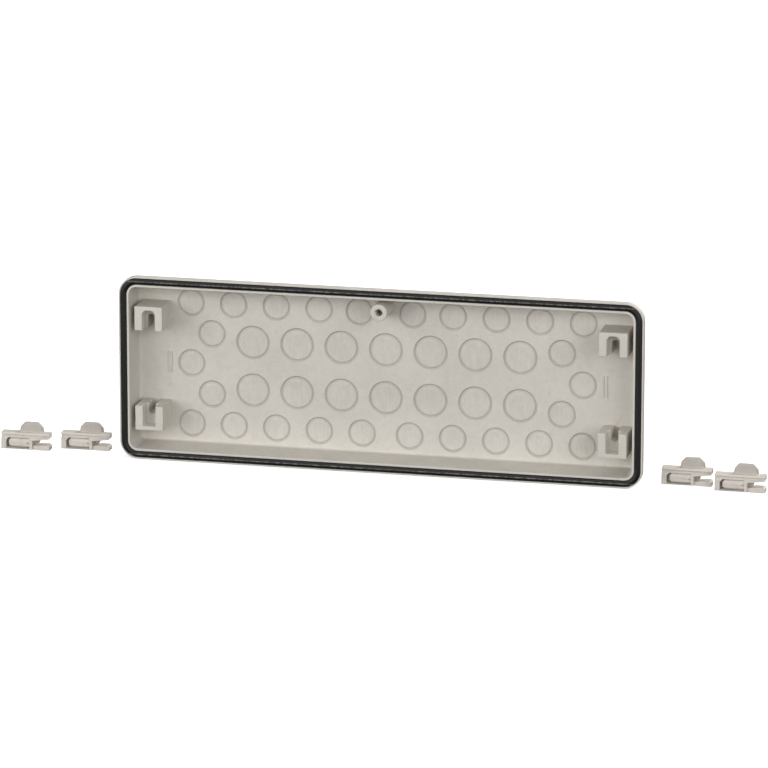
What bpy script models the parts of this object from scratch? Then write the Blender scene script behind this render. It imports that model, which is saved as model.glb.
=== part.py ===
"""Enclosure flange plate: a moulded tray with knockouts, its gasket and four locking wedges.

The plate stands upright in its own frame: X runs along it, Z is up, and Y runs from the sealing
rim (Y = 0, the side that meets the enclosure) to the outer face. The origin is the middle of the
rim plane. The wedges lie beside the plate, on the level of its lower edge. Lengths are in metres.
"""

import math

import bmesh
import bpy
from mathutils import Matrix, Vector

# Rim: the lip around the tray, with the channel for the gasket and the ridge inside it
RIM_LENGTH = 0.343
RIM_HEIGHT = 0.121
RIM_CORNER_RADIUS = 0.012
RIM_DEPTH = 0.0055
RIM_EDGE = 0.0004
LAND_WIDTH = 0.0010
CHANNEL_WIDTH = 0.00435
CHANNEL_DEPTH = 0.0030
RIDGE_WIDTH = 0.00145

# Tray: walls that lean in towards the floor, and the fillets where they meet
TRAY_DEPTH = 0.02145
WALL_THICKNESS = 0.0025
FLOOR_THICKNESS = 0.0025
WALL_LEAN = 0.0011
SIDE_FILLET = 0.0012
END_FILLET = 0.0045
FILLET_RISE = 0.0026
BACK_ROUND = 0.0022
TIGHTEST_CORNER = 0.0020

# Knockouts: discs of two sizes, each ringed by a groove in the floor
LARGE_DIAMETER = 0.0205
LARGE_SPACING = 0.0088
LARGE_ROW_SPACING = 0.0112
LARGE_PER_SIDE = 3
SMALL_DIAMETER = 0.0165
SMALL_SPACING = 0.0118
SMALL_MIDDLE_SPACING = 0.0149
SMALL_PER_SIDE = 5
OUTER_ROW_SPACING = 0.0059
END_SPACING = 0.0087
END_ROW_SPACING = 0.0236
POINT_STEP = 0.0136
BOSS_SIDESTEP = 0.0016
GROOVE_WIDTH = 0.0010
GROOVE_DEPTH = 0.0008
FLOOR_MARGIN = 0.0010

# Boss with a blind screw hole, close under the upper wall
BOSS_DIAMETER = 0.0110
BOSS_BORE = 0.0045
BOSS_BORE_DEPTH = 0.0120
BOSS_WALL_GAP = 0.0028

# Four posts that the wedges grip, one in each corner, open towards the middle of the plate
POST_WIDTH = 0.0185
POST_HEIGHT = 0.0160
POST_END_GAP = 0.0036
POST_SIDE_GAP = 0.0127
SLOT_WIDTH = 0.0083
SLOT_DEPTH = 0.0085
SLOT_END_WALL = 0.0026
UPPER_SLOT_ROUND = 0.0032
LOWER_SLOT_ROUND = 0.0005
DEEP_SLOT_WIDTH = 0.0046
UPPER_DEEP_WALL = 0.0068
LOWER_DEEP_WALL = 0.0090

# Centre marks at both ends of the floor: two thin ribs each
MARK_LENGTH = 0.0140
MARK_WIDTH = 0.0005
MARK_RISE = 0.0004
MARK_SPACING = 0.0023
MARK_END_GAP = 0.0215

# Gasket: a crowned strip that lies in the channel and stands a little proud of the rim
GASKET_CLEARANCE = 0.0003
GASKET_RISE = 0.0006
GASKET_CROWN = 0.0009

# Locking wedges: X runs from the closed end to the open fork
WEDGE_LENGTH = 0.0324
WEDGE_HEIGHT = 0.0110
WEDGE_DEPTH = 0.0070
WEDGE_CHAMFER = 0.0008
END_BLOCK_LENGTH = 0.0032
LOWER_RAIL_HEIGHT = 0.0008
WINDOW_LENGTH = 0.0158
WINDOW_HEIGHT = 0.0068
WINDOW_CORNER = 0.0018
BRIDGE_LENGTH = 0.0018
LOWER_TINE_HEIGHT = 0.0034
LOWER_TINE_ROOT = 0.0026
LOWER_TINE_ROUND = 0.0022
THROAT_HEIGHT = 0.0028
MOUTH_HEIGHT = 0.0040
UPPER_TINE_ROUND = 0.0012
WEB_LENGTH = 0.0058
WEB_SLANT = 0.0029
WEB_DEPTH = 0.0020
TONGUE_CLEARANCE = 0.0004
TONGUE_TIP_GAP = 0.0016
TONGUE_NOSE = 0.0016
TONGUE_TIP_HEIGHT = 0.0030
TONGUE_DEPTH = 0.0050
TONGUE_CHAMFER = 0.0012
RECESS_DEPTH = 0.0009
RECESS_BELOW_TOP = 0.0013
RECESS_OPEN_HEIGHT = 0.0007
RECESS_OVERLAP = 0.0004
TAB_START = 0.0115
TAB_LENGTH = 0.0160
TAB_HEIGHT = 0.0063
TAB_DEPTH = 0.0036
TAB_LEAN = 0.0008
TAB_SHOULDER = 0.0026
TAB_CORNER = 0.0031
TAB_CHAMFER = 0.0010

# Where the wedges lie: from the plate to the nearer one, then to the next, and how far back each is
LEFT_GAP = 0.0112
LEFT_SPACING = 0.0058
LEFT_SETBACKS = (0.0137, 0.0055)
RIGHT_GAP = 0.0094
RIGHT_SPACING = 0.0031
RIGHT_SETBACKS = (0.0168, 0.0093)

# Smoothness of the round shapes
CORNER_STEPS = 6
FILLET_STEPS = 3
CROWN_STEPS = 4
ROUND_STEPS = 4
LARGE_SEGMENTS = 24
SMALL_SEGMENTS = 20
BOSS_SEGMENTS = 20

# Sizes that follow from the ones above
FLOOR_BACK = TRAY_DEPTH + FLOOR_THICKNESS
RIDGE_OUTSET = LAND_WIDTH + CHANNEL_WIDTH
OPENING_INSET = RIDGE_OUTSET + RIDGE_WIDTH
OPENING_HALF_X = RIM_LENGTH / 2 - OPENING_INSET
OPENING_HALF_Z = RIM_HEIGHT / 2 - OPENING_INSET
FLOOR_HALF_X = OPENING_HALF_X - WALL_LEAN - END_FILLET
FLOOR_HALF_Z = OPENING_HALF_Z - WALL_LEAN - SIDE_FILLET
LARGE_PITCH = LARGE_DIAMETER + LARGE_SPACING
SMALL_PITCH = SMALL_DIAMETER + SMALL_SPACING
LARGE_ROW = (LARGE_DIAMETER + LARGE_ROW_SPACING) / 2
OUTER_ROW = LARGE_ROW + (LARGE_DIAMETER + SMALL_DIAMETER) / 2 + OUTER_ROW_SPACING
QUARTER_TURN = math.radians(90)
SHARP_ANGLE = math.radians(10)
FLAT_ANGLE = math.radians(0.1)
MERGE_DISTANCE = 1e-6
BURIED = FLOOR_THICKNESS / 2
OVERSHOOT = 0.001

# Finishes: name, colour and roughness
PLASTIC = ("light_grey_plastic", (0.55, 0.53, 0.49, 1.0), 0.5)
RUBBER = ("black_rubber", (0.02, 0.02, 0.02, 1.0), 0.45)


def clear_scene():
    """Empty the file that the script runs in."""
    for obj in list(bpy.data.objects):
        bpy.data.objects.remove(obj, do_unlink=True)


def new_collection(name):
    """Add a collection to the scene."""
    collection = bpy.data.collections.new(name)
    bpy.context.scene.collection.children.link(collection)
    return collection


def make_material(name, colour, roughness):
    """Principled material of one finish."""
    material = bpy.data.materials.new(name)
    material.use_nodes = True
    shader = material.node_tree.nodes["Principled BSDF"]
    shader.inputs["Base Color"].default_value = colour
    shader.inputs["Roughness"].default_value = roughness
    material.diffuse_color = colour
    return material


def add_object(name, mesh, collection, finish=None):
    """Link a mesh into the scene, with a material of its own if it has a finish."""
    obj = bpy.data.objects.new(name, mesh)
    collection.objects.link(obj)
    if finish:
        finish_name, colour, roughness = finish
        mesh.materials.append(make_material(f"{name}_{finish_name}", colour, roughness))
    return obj


def mesh_from(bm, name):
    """Turn a bmesh into a mesh whose faces point outwards."""
    bmesh.ops.recalc_face_normals(bm, faces=bm.faces)
    mesh = bpy.data.meshes.new(name)
    bm.to_mesh(mesh)
    bm.free()
    return mesh


def combine(target, tool, operation):
    """Boolean of a tool on the target, kept as a modifier."""
    modifier = target.modifiers.new(tool.name, "BOOLEAN")
    modifier.operation = operation
    modifier.solver = "EXACT"
    modifier.object = tool
    tool.hide_render = True
    tool.display_type = "WIRE"


def evaluated_mesh(obj):
    """Mesh of an object with its modifiers applied."""
    depsgraph = bpy.context.evaluated_depsgraph_get()
    return bpy.data.meshes.new_from_object(obj.evaluated_get(depsgraph))


def box(name, low, high, collection):
    """Box between two corners."""
    centre = [(a + b) / 2 for a, b in zip(low, high)]
    size = [b - a for a, b in zip(low, high)]
    bm = bmesh.new()
    bmesh.ops.create_cube(bm, size=1.0, matrix=Matrix.LocRotScale(centre, None, size))
    return add_object(name, mesh_from(bm, name), collection)


def round_bar(name, x, z, near, far, diameter, collection):
    """Cylinder along Y."""
    place = Matrix.Translation((x, (near + far) / 2, z)) @ Matrix.Rotation(QUARTER_TURN, 4, "X")
    bm = bmesh.new()
    bmesh.ops.create_cone(bm, cap_ends=True, segments=BOSS_SEGMENTS, radius1=diameter / 2,
                          radius2=diameter / 2, depth=far - near, matrix=place)
    return add_object(name, mesh_from(bm, name), collection)


def flat_solid(name, outlines, near, far, collection):
    """Solid of closed (x, z) outlines, holes included, between two depths along Y."""
    curve = bpy.data.curves.new(name, "CURVE")
    curve.dimensions = "2D"
    curve.fill_mode = "BOTH"
    curve.extrude = (far - near) / 2
    for outline in outlines:
        spline = curve.splines.new("POLY")
        spline.points.add(len(outline) - 1)
        for point, (x, z) in zip(spline.points, outline):
            point.co = (x, z, 0, 1)
        spline.use_cyclic_u = True
    guide = add_object(name + "_curve", curve, collection)
    bm = bmesh.new()
    bm.from_mesh(evaluated_mesh(guide))
    bpy.data.objects.remove(guide, do_unlink=True)
    bmesh.ops.remove_doubles(bm, verts=bm.verts, dist=MERGE_DISTANCE)
    bmesh.ops.dissolve_limit(bm, angle_limit=FLAT_ANGLE, verts=bm.verts, edges=bm.edges)
    upright = Matrix.Translation((0, (near + far) / 2, 0)) @ Matrix.Rotation(QUARTER_TURN, 4, "X")
    bmesh.ops.transform(bm, matrix=upright, verts=bm.verts)
    return add_object(name, mesh_from(bm, name), collection)


def chamfer(obj, picks, width):
    """Bevel the sharp edges whose two ends both pass a test."""
    bm = bmesh.new()
    bm.from_mesh(obj.data)
    edges = [edge for edge in bm.edges
             if edge.calc_face_angle() > SHARP_ANGLE and all(picks(vert.co) for vert in edge.verts)]
    bmesh.ops.bevel(bm, geom=edges, offset=width, segments=1, affect="EDGES")
    bm.to_mesh(obj.data)
    bm.free()


def arc(centre_x, centre_z, radius, first_quarter):
    """Quarter of a circle as (x, z) points, anticlockwise from the given quarter."""
    points = []
    for step in range(ROUND_STEPS + 1):
        angle = QUARTER_TURN * (first_quarter + step / ROUND_STEPS)
        points.append((centre_x + radius * math.cos(angle), centre_z + radius * math.sin(angle)))
    return points


def rim_loop(inset_x, inset_z, depth):
    """Loop that lies the given insets inside the rim's outline, at a depth behind its plane."""
    half_x = RIM_LENGTH / 2 - inset_x
    half_z = RIM_HEIGHT / 2 - inset_z
    radius_x = max(RIM_CORNER_RADIUS - inset_x, TIGHTEST_CORNER)
    radius_z = max(RIM_CORNER_RADIUS - inset_z, TIGHTEST_CORNER)
    loop = []
    for quarter, (side_x, side_z) in enumerate(((1, 1), (-1, 1), (-1, -1), (1, -1))):
        for step in range(CORNER_STEPS + 1):
            angle = QUARTER_TURN * (quarter + step / CORNER_STEPS)
            x = side_x * (half_x - radius_x) + radius_x * math.cos(angle)
            z = side_z * (half_z - radius_z) + radius_z * math.sin(angle)
            loop.append(Vector((x, depth, z)))
    return loop


def fillet_loops(inset_x, inset_z, depth, reach_x, reach_z, rise):
    """Loops of a fillet that turns inwards from a wall and ends flat at the given depth."""
    loops = []
    for step in range(FILLET_STEPS + 1):
        angle = QUARTER_TURN * step / FILLET_STEPS
        inwards = 1 - math.cos(angle)
        loops.append(rim_loop(inset_x + reach_x * inwards, inset_z + reach_z * inwards,
                              depth - rise * (1 - math.sin(angle))))
    return loops


def skin(loops, ring=False):
    """Join loops of equal length in turn, into a ring or into a body with both ends closed."""
    bm = bmesh.new()
    rows = [[bm.verts.new(point) for point in loop] for loop in loops]
    pairs = list(zip(rows, rows[1:]))
    if ring:
        pairs.append((rows[-1], rows[0]))
    else:
        bm.faces.new(rows[0])
        bm.faces.new(rows[-1])
    for first, second in pairs:
        for index in range(len(first)):
            following = (index + 1) % len(first)
            bm.faces.new((first[index], first[following], second[following], second[index]))
    return bm


def tray_mesh():
    """Lip, channel, ridge, walls and floor as one skin, from the outer face round to the floor."""
    outer_inset = OPENING_INSET - WALL_THICKNESS
    back_inset = outer_inset + WALL_LEAN * (FLOOR_BACK - RIM_DEPTH) / TRAY_DEPTH
    back = fillet_loops(back_inset, back_inset, FLOOR_BACK, BACK_ROUND, BACK_ROUND, BACK_ROUND)
    lip = [rim_loop(outer_inset, outer_inset, RIM_DEPTH),
           rim_loop(RIM_EDGE, RIM_EDGE, RIM_DEPTH),
           rim_loop(0, 0, RIM_DEPTH - RIM_EDGE),
           rim_loop(0, 0, RIM_EDGE),
           rim_loop(RIM_EDGE, RIM_EDGE, 0)]
    channel = [rim_loop(LAND_WIDTH, LAND_WIDTH, 0),
               rim_loop(LAND_WIDTH, LAND_WIDTH, CHANNEL_DEPTH),
               rim_loop(RIDGE_OUTSET, RIDGE_OUTSET, CHANNEL_DEPTH),
               rim_loop(RIDGE_OUTSET, RIDGE_OUTSET, 0)]
    opening = [rim_loop(OPENING_INSET, OPENING_INSET, 0)]
    foot_inset = OPENING_INSET + WALL_LEAN
    floor = fillet_loops(foot_inset, foot_inset, TRAY_DEPTH, END_FILLET, SIDE_FILLET, FILLET_RISE)
    return mesh_from(skin(back[::-1] + lip + channel + opening + floor), "flange_plate")


def large_knockouts():
    """Centres of the two middle rows."""
    steps = range(-LARGE_PER_SIDE, LARGE_PER_SIDE + 1)
    return [(step * LARGE_PITCH, side * LARGE_ROW) for side in (-1, 1) for step in steps]


def small_knockouts():
    """Centres of the outer rows, then of the three that close each end of the middle rows."""
    first_x = (SMALL_DIAMETER + SMALL_MIDDLE_SPACING) / 2
    end_x = LARGE_PER_SIDE * LARGE_PITCH + (LARGE_DIAMETER + SMALL_DIAMETER) / 2 + END_SPACING
    end_z = (SMALL_DIAMETER + END_ROW_SPACING) / 2
    centres = []
    for side in (-1, 1):
        for step in range(SMALL_PER_SIDE):
            x = first_x + step * SMALL_PITCH
            upper_x = x + BOSS_SIDESTEP if step == 0 else x
            centres += [(side * x, -OUTER_ROW), (side * upper_x, OUTER_ROW)]
        centres += [(side * end_x, end_z), (side * end_x, -end_z), (side * (end_x + POINT_STEP), 0)]
    return centres


def fits_floor(centre, diameter):
    """Whether a knockout and its groove stay on the flat of the floor."""
    reach = (diameter + GROOVE_WIDTH) / 2 + FLOOR_MARGIN
    return abs(centre[0]) + reach <= FLOOR_HALF_X and abs(centre[1]) + reach <= FLOOR_HALF_Z


def ring_grooves(tools):
    """One cutter with a V-shaped ring for each knockout."""
    bm = bmesh.new()
    families = ((large_knockouts(), LARGE_DIAMETER, LARGE_SEGMENTS),
                (small_knockouts(), SMALL_DIAMETER, SMALL_SEGMENTS))
    for centres, diameter, segments in families:
        bpy.ops.mesh.primitive_torus_add(major_segments=segments, minor_segments=4,
                                         major_radius=diameter / 2, minor_radius=GROOVE_WIDTH / 2)
        ring = bpy.context.object
        flatten = Matrix.Scale(2 * GROOVE_DEPTH / GROOVE_WIDTH, 4, (0, 0, 1))
        ring.data.transform(Matrix.Rotation(QUARTER_TURN, 4, "X") @ flatten)
        for x, z in centres:
            if not fits_floor((x, z), diameter):
                continue
            start = len(bm.verts)
            bm.from_mesh(ring.data)
            bm.verts.ensure_lookup_table()
            bmesh.ops.translate(bm, verts=bm.verts[start:], vec=(x, TRAY_DEPTH, z))
        bpy.data.objects.remove(ring, do_unlink=True)
    return add_object("knockout_grooves", mesh_from(bm, "knockout_grooves"), tools)


def slot_outline(x, closed_z, open_z, width, radius):
    """Slot that is open at one level and has two round corners at the other."""
    left, right = x - width / 2, x + width / 2
    if closed_z > open_z:
        corners = arc(right - radius, closed_z - radius, radius, 0)
        corners += arc(left + radius, closed_z - radius, radius, 1)
        return [[(left, open_z), (right, open_z)] + corners]
    corners = arc(left + radius, closed_z + radius, radius, 2)
    corners += arc(right - radius, closed_z + radius, radius, 3)
    return [[(right, open_z), (left, open_z)] + corners]


def post(name, side_x, side_z, tools):
    """Post in one corner, with a wide slot in front and a narrow, round-ended one behind it."""
    outer_x = side_x * (OPENING_HALF_X - POST_END_GAP)
    outer_z = side_z * (OPENING_HALF_Z - POST_SIDE_GAP)
    inner_x = outer_x - side_x * POST_WIDTH
    inner_z = outer_z - side_z * POST_HEIGHT
    middle_x = (outer_x + inner_x) / 2
    open_z = inner_z - side_z * OVERSHOOT
    upper = side_z > 0
    slot_round = UPPER_SLOT_ROUND if upper else LOWER_SLOT_ROUND
    deep_wall = UPPER_DEEP_WALL if upper else LOWER_DEEP_WALL
    body = box(name, (min(outer_x, inner_x), 0, min(outer_z, inner_z)),
               (max(outer_x, inner_x), TRAY_DEPTH + BURIED, max(outer_z, inner_z)), tools)
    wide = slot_outline(middle_x, outer_z - side_z * SLOT_END_WALL, open_z, SLOT_WIDTH, slot_round)
    deep = slot_outline(middle_x, outer_z - side_z * deep_wall, open_z, DEEP_SLOT_WIDTH,
                        DEEP_SLOT_WIDTH / 2 - RIM_EDGE)
    wide_tool = flat_solid(name + "_slot", wide, -OVERSHOOT, SLOT_DEPTH, tools)
    deep_tool = flat_solid(name + "_deep_slot", deep, SLOT_DEPTH - OVERSHOOT, FLOOR_BACK, tools)
    combine(body, wide_tool, "DIFFERENCE")
    combine(body, deep_tool, "DIFFERENCE")
    return body


def centre_marks(tools):
    """Two thin upright ribs on the floor at each end."""
    marks = []
    for side in (-1, 1):
        for step in (-1, 1):
            x = side * (OPENING_HALF_X - MARK_END_GAP) + step * MARK_SPACING / 2
            marks.append(box(f"mark_{len(marks) + 1}",
                             (x - MARK_WIDTH / 2, TRAY_DEPTH - MARK_RISE, -MARK_LENGTH / 2),
                             (x + MARK_WIDTH / 2, TRAY_DEPTH + BURIED, MARK_LENGTH / 2), tools))
    return marks


def flange_plate(parts, tools):
    """The moulded plate: tray, posts, boss and marks, with the knockout grooves cut in."""
    plate = add_object("flange_plate", tray_mesh(), parts, PLASTIC)
    corners = ((-1, 1), (1, 1), (-1, -1), (1, -1))
    for number, (side_x, side_z) in enumerate(corners, start=1):
        combine(plate, post(f"post_{number}", side_x, side_z, tools), "UNION")
    for mark in centre_marks(tools):
        combine(plate, mark, "UNION")
    boss_z = OPENING_HALF_Z - BOSS_WALL_GAP - BOSS_DIAMETER / 2
    boss = round_bar("boss", 0, boss_z, 0, TRAY_DEPTH + BURIED, BOSS_DIAMETER, tools)
    bore = round_bar("boss_bore", 0, boss_z, -OVERSHOOT, BOSS_BORE_DEPTH, BOSS_BORE, tools)
    combine(plate, boss, "UNION")
    combine(plate, bore, "DIFFERENCE")
    combine(plate, ring_grooves(tools), "DIFFERENCE")
    return plate


def gasket(parts):
    """Strip with a crowned face, swept around the channel."""
    outer = LAND_WIDTH + GASKET_CLEARANCE
    inner = RIDGE_OUTSET - GASKET_CLEARANCE
    seat = CHANNEL_DEPTH - GASKET_CLEARANCE
    loops = [rim_loop(inner, inner, seat), rim_loop(outer, outer, seat)]
    for step in range(CROWN_STEPS + 1):
        across = step / CROWN_STEPS
        inset = outer + (inner - outer) * across
        depth = GASKET_CROWN * (2 * across - 1) ** 2 - GASKET_RISE
        loops.append(rim_loop(inset, inset, depth))
    return add_object("gasket", mesh_from(skin(loops, ring=True), "gasket"), parts, RUBBER)


def wedge_body_outlines():
    """Outline of a wedge seen from the front, and its window with one corner cut off."""
    throat_x = END_BLOCK_LENGTH + WINDOW_LENGTH + BRIDGE_LENGTH
    mouth_top = LOWER_TINE_HEIGHT + MOUTH_HEIGHT
    outline = [(0, 0), (WEDGE_LENGTH, 0)]
    lower_tip = (WEDGE_LENGTH - LOWER_TINE_ROUND, LOWER_TINE_HEIGHT - LOWER_TINE_ROUND)
    upper_tip = (WEDGE_LENGTH - UPPER_TINE_ROUND, mouth_top + UPPER_TINE_ROUND)
    outline += arc(*lower_tip, LOWER_TINE_ROUND, 0)
    outline += [((throat_x + lower_tip[0]) / 2, LOWER_TINE_HEIGHT), (throat_x, LOWER_TINE_ROOT),
                (throat_x, LOWER_TINE_HEIGHT + THROAT_HEIGHT)]
    outline += arc(*upper_tip, UPPER_TINE_ROUND, 3)
    outline += [(WEDGE_LENGTH, WEDGE_HEIGHT), (0, WEDGE_HEIGHT)]
    left, right = END_BLOCK_LENGTH, END_BLOCK_LENGTH + WINDOW_LENGTH
    low, high = LOWER_RAIL_HEIGHT, LOWER_RAIL_HEIGHT + WINDOW_HEIGHT
    return [outline, [(left, low), (right, low), (right, high), (left + WINDOW_CORNER, high),
                      (left, high - WINDOW_CORNER)]]


def wedge_tongue_outline():
    """Bullet-shaped tongue in the window, which grows out of the bridge."""
    tip = END_BLOCK_LENGTH + TONGUE_TIP_GAP
    root = END_BLOCK_LENGTH + WINDOW_LENGTH + BRIDGE_LENGTH / 2
    low = LOWER_RAIL_HEIGHT + TONGUE_CLEARANCE
    high = LOWER_RAIL_HEIGHT + WINDOW_HEIGHT - TONGUE_CLEARANCE
    middle = (low + high) / 2
    return [[(root, low), (root, high), (tip + TONGUE_NOSE, high), (tip, middle + TONGUE_TIP_HEIGHT / 2),
             (tip, middle - TONGUE_TIP_HEIGHT / 2), (tip + TONGUE_NOSE, low)]]


def wedge_recess_outline():
    """Recess along the front of the upper bar: level over the window, then narrowing to the fork."""
    throat_x = END_BLOCK_LENGTH + WINDOW_LENGTH + BRIDGE_LENGTH
    low = LOWER_RAIL_HEIGHT + WINDOW_HEIGHT - RECESS_OVERLAP
    high = WEDGE_HEIGHT - RECESS_BELOW_TOP
    past_end = WEDGE_LENGTH + OVERSHOOT
    return [[(-OVERSHOOT, low), (throat_x, low), (past_end, high - RECESS_OPEN_HEIGHT),
             (past_end, high), (-OVERSHOOT, high)]]


def wedge_web_outline():
    """Set-back web that closes the throat of the fork, with a slanting free edge."""
    start = END_BLOCK_LENGTH + WINDOW_LENGTH + BRIDGE_LENGTH / 2
    end = start + BRIDGE_LENGTH / 2 + WEB_LENGTH
    low = LOWER_TINE_ROOT / 2
    high = (LOWER_TINE_HEIGHT + MOUTH_HEIGHT + WEDGE_HEIGHT) / 2
    return [[(start, low), (end - WEB_SLANT, low), (end, high), (start, high)]]


def wedge_tab_outline():
    """Thumb tab on top of the upper bar, with leaning sides and cut corners."""
    left, right = TAB_START, TAB_START + TAB_LENGTH
    foot = WEDGE_HEIGHT - WEDGE_CHAMFER - TAB_CHAMFER
    shoulder = WEDGE_HEIGHT + TAB_SHOULDER
    top = WEDGE_HEIGHT + TAB_HEIGHT
    top_inset = TAB_LEAN + TAB_CORNER
    return [[(left, foot), (right, foot), (right, WEDGE_HEIGHT), (right - TAB_LEAN, shoulder),
             (right - top_inset, top), (left + top_inset, top), (left + TAB_LEAN, shoulder),
             (left, WEDGE_HEIGHT)]]


def wedge_mesh(tools):
    """Mesh of one wedge: closed end at the origin, front at Y = 0, foot at Z = 0."""
    body = flat_solid("wedge_body", wedge_body_outlines(), 0, WEDGE_DEPTH, tools)
    chamfer(body, lambda co: co.y < RIM_EDGE and co.z > WEDGE_HEIGHT - RIM_EDGE, WEDGE_CHAMFER)
    recess = flat_solid("wedge_recess", wedge_recess_outline(), -OVERSHOOT, RECESS_DEPTH, tools)
    combine(body, recess, "DIFFERENCE")
    tongue = flat_solid("wedge_tongue", wedge_tongue_outline(), 0, TONGUE_DEPTH, tools)
    chamfer(tongue, lambda co: co.y < RIM_EDGE, TONGUE_CHAMFER)
    web_front = WEDGE_DEPTH - WEB_DEPTH
    web = flat_solid("wedge_web", wedge_web_outline(), web_front, WEDGE_DEPTH - RIM_EDGE, tools)
    tab_front = WEDGE_DEPTH - TAB_DEPTH
    tab = flat_solid("wedge_tab", wedge_tab_outline(), tab_front, WEDGE_DEPTH, tools)
    chamfer(tab, lambda co: co.y < tab_front + RIM_EDGE, TAB_CHAMFER)
    for tool in (tongue, web, tab):
        combine(body, tool, "UNION")
    mesh = evaluated_mesh(body)
    for obj in (body, recess, tongue, web, tab):
        bpy.data.objects.remove(obj, do_unlink=True)
    return mesh


def wedge_places():
    """Corner of each wedge, from left to right."""
    places = []
    for side, gap, spacing, setbacks in ((-1, LEFT_GAP, LEFT_SPACING, LEFT_SETBACKS),
                                         (1, RIGHT_GAP, RIGHT_SPACING, RIGHT_SETBACKS)):
        for step, setback in enumerate(setbacks):
            near_end = RIM_LENGTH / 2 + gap + step * (WEDGE_LENGTH + spacing)
            x = near_end if side > 0 else -near_end - WEDGE_LENGTH
            places.append((x, setback, -RIM_HEIGHT / 2))
    return sorted(places)


def locking_wedges(parts, tools):
    """Four wedges of one mesh, beside the plate."""
    mesh = wedge_mesh(tools)
    for number, place in enumerate(wedge_places(), start=1):
        wedge = add_object(f"locking_wedge_{number}", mesh.copy(), parts, PLASTIC)
        wedge.location = place


def main():
    """Build the plate, its gasket and its wedges."""
    clear_scene()
    parts = new_collection("enclosure_flange_plate")
    tools = new_collection("cutters")
    flange_plate(parts, tools)
    gasket(parts)
    locking_wedges(parts, tools)


main()
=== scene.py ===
"""Looks of the enclosure flange plate: the moulded plate, its gasket and its four locking wedges.

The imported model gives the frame: X runs along the plate, Z is up, and Y runs from the sealing rim
(Y = 0, towards the camera) to the outer face. Lengths are in metres.
"""

import math
from contextlib import contextmanager
from functools import partial

import bmesh
import bpy
from mathutils import Matrix, Vector


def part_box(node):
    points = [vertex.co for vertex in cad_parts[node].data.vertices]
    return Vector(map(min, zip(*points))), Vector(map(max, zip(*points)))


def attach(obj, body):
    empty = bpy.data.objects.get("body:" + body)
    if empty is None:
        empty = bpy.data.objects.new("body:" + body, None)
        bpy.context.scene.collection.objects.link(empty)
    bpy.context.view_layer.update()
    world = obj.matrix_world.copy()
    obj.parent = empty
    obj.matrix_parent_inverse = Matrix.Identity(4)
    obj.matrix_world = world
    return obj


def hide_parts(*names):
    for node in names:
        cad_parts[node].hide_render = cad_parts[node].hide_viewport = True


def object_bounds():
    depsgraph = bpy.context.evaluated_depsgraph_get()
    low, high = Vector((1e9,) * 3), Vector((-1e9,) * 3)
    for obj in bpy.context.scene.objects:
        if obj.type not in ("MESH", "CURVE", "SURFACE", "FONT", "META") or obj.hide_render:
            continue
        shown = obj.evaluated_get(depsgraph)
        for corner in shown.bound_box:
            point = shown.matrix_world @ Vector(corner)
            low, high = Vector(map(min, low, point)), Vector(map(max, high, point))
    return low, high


bl_info = {
    "name": "Enclosure flange plate",
    "version": (1, 0, 0),
    "blender": (4, 5, 0),
    "location": "View3D > Sidebar > Flange plate",
    "description": "Dresses the flange plate, its gasket and its locking wedges",
    "category": "Object",
}

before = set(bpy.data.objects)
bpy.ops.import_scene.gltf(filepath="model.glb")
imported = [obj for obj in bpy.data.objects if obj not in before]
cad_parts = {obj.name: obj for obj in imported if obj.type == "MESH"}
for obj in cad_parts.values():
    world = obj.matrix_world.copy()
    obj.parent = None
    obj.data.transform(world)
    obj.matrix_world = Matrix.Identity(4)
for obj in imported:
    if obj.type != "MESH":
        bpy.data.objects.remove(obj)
CAD_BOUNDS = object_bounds()
PLATE_LOW, PLATE_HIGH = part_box("flange_plate")
WEDGE_NODES = sorted(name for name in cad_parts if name.startswith("locking_wedge"))

QUARTER_TURN = math.radians(90)
SMOOTH_ANGLE = math.radians(32)
SHARP_ANGLE = math.radians(10)
FLAT_ANGLE = math.radians(0.1)
MERGE_DISTANCE = 1e-6
CUTTER_MERGE = 1e-5
OVERSHOOT = 0.001
BURIED = 0.0012
UPRIGHT = Matrix.Rotation(QUARTER_TURN, 4, "X")
LIGHT_SIDES = ("front", "left", "right", "back", "top")

# Rows of a knockout's cutter, the share of them in its disc, and how far it climbs in half grooves
CUTTER_ROWS = 16
DISC_ROWS = 0.6
CLIMB = 3.0

# Half width, level and half height of the swelling on a knockout, as shares of its radius
LOBE_HALF_WIDTH = 0.42
LOBE_LEVEL = 0.68
LOBE_HALF_HEIGHT = 0.17

# Where the tongue, the back wall and the web end in a wedge's bridge, as shares of its length.
# These differ, because the union goes wrong where faces coincide.
TONGUE_ROOT = 0.4
BACK_ROOT = 1 / 3
WEB_ROOT = 0.5

# Layers of the plastic's colour: two tones, and the noise values at which the second takes over
WHITE = (1.0, 1.0, 1.0)
GRAINS = ((0.955, 0.955, 0.955), WHITE, 0.30, 0.60)
SPECKS = (WHITE, (0.93, 0.925, 0.91), 0.68, 0.76)
MOTTLES = ((0.965, 0.965, 0.965), WHITE, 0.35, 0.62)

# How far the soft clouds stray from the colour, the noise values that the other ranges run across,
# and the least share of the painted highlight on the bead
CLOUD_SPREAD = 0.028
CLOUD_RANGE = (0.35, 0.65)
FLOW_RANGE = (0.38, 0.60)
ROUGH_RANGE = (0.3, 0.7)
HIGHLIGHT_PATCH_RANGE = (0.42, 0.62)
LEAST_HIGHLIGHT = 0.30

# How far under and over its level the darker tone of a tab fades in
FADE_UNDER = 0.0002
FADE_OVER = 0.0004


def size(name, description, default):
    """Length property, in metres."""
    return bpy.props.FloatProperty(name=name, description=description, default=default,
                                   min=0.0, precision=5, unit="LENGTH")


def count(name, description, default):
    """Whole number property."""
    return bpy.props.IntProperty(name=name, description=description, default=default, min=1)


def share(name, description, default):
    """Plain number property without a unit."""
    return bpy.props.FloatProperty(name=name, description=description, default=default, precision=4)


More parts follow.
